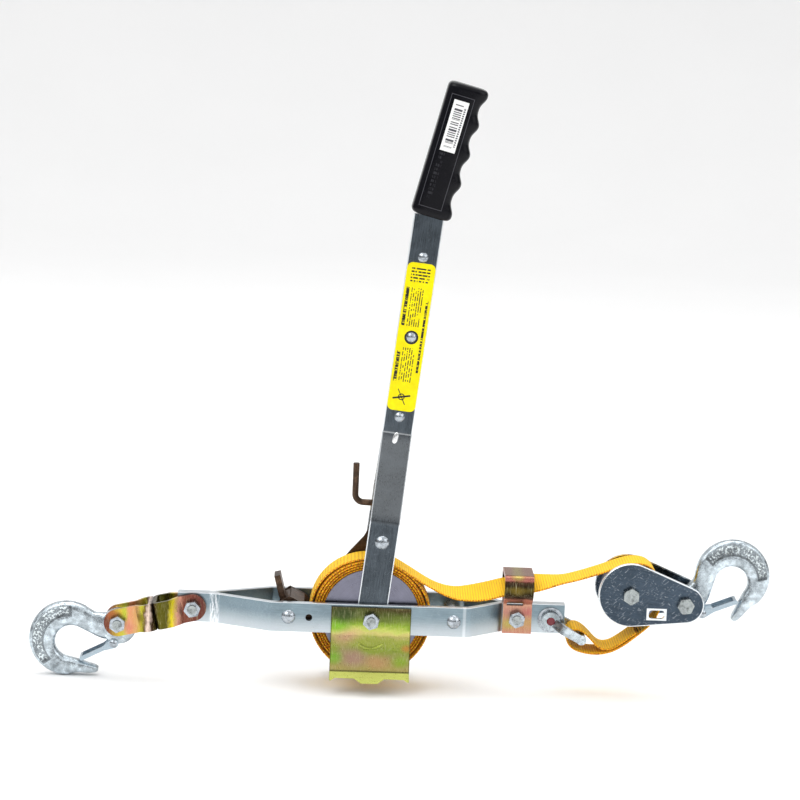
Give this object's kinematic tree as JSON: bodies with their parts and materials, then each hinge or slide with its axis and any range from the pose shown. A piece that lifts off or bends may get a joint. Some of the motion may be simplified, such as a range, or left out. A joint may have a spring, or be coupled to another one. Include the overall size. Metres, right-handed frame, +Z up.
{
  "type": "come along winch",
  "caption": "Hand lever strap puller: ratchet drum of webbing between two bent bars, long lever, snatch block and hooks with latches",
  "frame": {"origin": "middle of the anchor hook's bowl, on the tool's middle plane", "axes": "+X along the frame from the anchor hook to the load hook, +Y from the front bar to the rear bar, +Z up along the lever"},
  "size_m": [0.6354, 0.084, 0.5201],
  "materials": {
    "zinc_bar": "satin",
    "zinc_fastener": "satin",
    "spring_wire": "satin",
    "yellow_chromate": "satin",
    "lever_steel": "satin",
    "drum_zinc": "satin",
    "block_steel": "satin",
    "forged_zinc": "satin",
    "latch_zinc": "satin",
    "brown_oxide": "matte",
    "webbing": "matte",
    "grip_vinyl": "gloss",
    "label_film": "gloss",
    "sticker_paper": "matte",
    "pin_red": "satin"
  },
  "bodies": {
    "frame": {"frame_side_front": "zinc_bar", "frame_side_rear": "zinc_bar", "frame_spacer": "zinc_bar", "frame_rivet": "zinc_fastener", "holding_pawl_pin": "zinc_fastener", "holding_pawl_spring": "spring_wire", "drum_guard_front": "yellow_chromate", "drum_guard_rear": "yellow_chromate", "drum_shaft_bolt": "zinc_fastener", "drum_shaft_nut": "zinc_fastener", "strap_keeper": "yellow_chromate", "keeper_bolt": "zinc_fastener", "keeper_nut": "zinc_fastener", "strap_run": "webbing", "shackle_washers": "zinc_fastener", "shackle_pin": "pin_red"},
    "drum": {"drum_hub": "drum_zinc", "drum_flange": "drum_zinc", "ratchet_wheel": "drum_zinc", "strap_anchor_pin": "zinc_fastener", "strap_winding": "webbing"},
    "lever": {"lever_plate_front": "lever_steel", "lever_plate_rear": "lever_steel", "lever_rivets": "zinc_fastener", "drive_pawl_pin": "zinc_fastener", "drive_pawl_spring": "spring_wire", "grip": "grip_vinyl", "grip_sticker": "sticker_paper", "lever_label": "label_film"},
    "drive_pawl_body": {"drive_pawl": "brown_oxide", "drive_pawl_rod": "brown_oxide"},
    "holding_pawl_body": {"holding_pawl": "brown_oxide"},
    "yoke_inner": {"yoke_frame_bracket": "yellow_chromate", "yoke_bolt": "zinc_fastener", "yoke_nut": "zinc_fastener", "swivel_rivet": "zinc_fastener", "swivel_washer": "zinc_fastener"},
    "yoke_outer": {"yoke_hook_bracket": "yellow_chromate", "hook_bolt": "zinc_fastener", "hook_nut": "zinc_fastener"},
    "anchor_hook_body": {"anchor_hook": "forged_zinc", "anchor_latch_pin": "zinc_fastener", "anchor_latch_spring": "spring_wire"},
    "anchor_latch_body": {"anchor_latch": "latch_zinc"},
    "shackle_body": {"shackle": "forged_zinc", "strap_eye": "webbing"},
    "block": {"block_plate_front": "block_steel", "block_plate_rear": "block_steel", "sheave_bolt": "zinc_fastener", "sheave_nut": "zinc_fastener", "sheave_bushing": "zinc_fastener", "block_hook_bolt": "zinc_fastener", "block_hook_nut": "zinc_fastener", "block_spacers": "zinc_fastener"},
    "sheave_body": {"sheave": "drum_zinc"},
    "load_hook_body": {"load_hook": "forged_zinc", "load_latch_pin": "zinc_fastener", "load_latch_spring": "spring_wire"},
    "load_latch_body": {"load_latch": "latch_zinc"}
  },
  "joints": [
    {"name": "lever_swing", "type": "hinge", "parent": "frame", "child": "lever", "pos_m": [0.25623, 0, 0.0347], "axis": [0, 1, 0], "range_deg": [-42, 42]},
    {"name": "drum_spin", "type": "hinge", "parent": "frame", "child": "drum", "pos_m": [0.25623, 0, 0.0347], "axis": [0, -1, 0], "continuous": true},
    {"name": "drive_pawl_lift", "type": "hinge", "parent": "lever", "child": "drive_pawl_body", "pos_m": [0.26316, 0, 0.10063], "axis": [0, 1, 0], "range_deg": [0, 18], "stiffness_Nm_per_rad": 0.04, "springref_deg": -25.78},
    {"name": "holding_pawl_lift", "type": "hinge", "parent": "frame", "child": "holding_pawl_body", "pos_m": [0.18583, 0, 0.0347], "axis": [0, 1, 0], "range_deg": [0, 25], "stiffness_Nm_per_rad": 0.05, "springref_deg": -25.78},
    {"name": "shackle_swing", "type": "hinge", "parent": "frame", "child": "shackle_body", "pos_m": [0.41113, 0, 0.0337], "axis": [0, -1, 0], "range_deg": [-16, 5], "deforming": ["strap_run"]},
    {"name": "block_swing", "type": "hinge", "parent": "frame", "child": "block", "pos_m": [0.47783, 0, 0.0612], "axis": [0, -1, 0], "range_deg": [-8, 60]},
    {"name": "sheave_spin", "type": "hinge", "parent": "block", "child": "sheave_body", "pos_m": [0.47783, 0, 0.0612], "axis": [0, -1, 0], "continuous": true},
    {"name": "load_hook_pivot", "type": "hinge", "parent": "block", "child": "load_hook_body", "pos_m": [0.52503, 0, 0.0542], "axis": [0, -1, 0], "range_deg": [-45, 35]},
    {"name": "load_latch_open", "type": "hinge", "parent": "load_hook_body", "child": "load_latch_body", "pos_m": [0.54173, 0, 0.04408], "axis": [0, -1, 0], "range_deg": [0, 28], "stiffness_Nm_per_rad": 0.01, "springref_deg": -28.65},
    {"name": "yoke_pivot", "type": "hinge", "parent": "frame", "child": "yoke_inner", "pos_m": [0.10323, 0, 0.0347], "axis": [0, -1, 0], "range_deg": [-60, 60]},
    {"name": "hook_swivel", "type": "hinge", "parent": "yoke_inner", "child": "yoke_outer", "pos_m": [0.10323, 0, 0.0347], "axis": [-0.9732, 0, -0.23], "continuous": true},
    {"name": "anchor_hook_pivot", "type": "hinge", "parent": "yoke_outer", "child": "anchor_hook_body", "pos_m": [0.03968, 0, 0.01968], "axis": [0, -1, 0], "range_deg": [-40, 40]},
    {"name": "anchor_latch_open", "type": "hinge", "parent": "anchor_hook_body", "child": "anchor_latch_body", "pos_m": [0.03635, 0, 0.00044], "axis": [0, 1, 0], "range_deg": [0, 28], "stiffness_Nm_per_rad": 0.01, "springref_deg": -28.65}
  ]
}
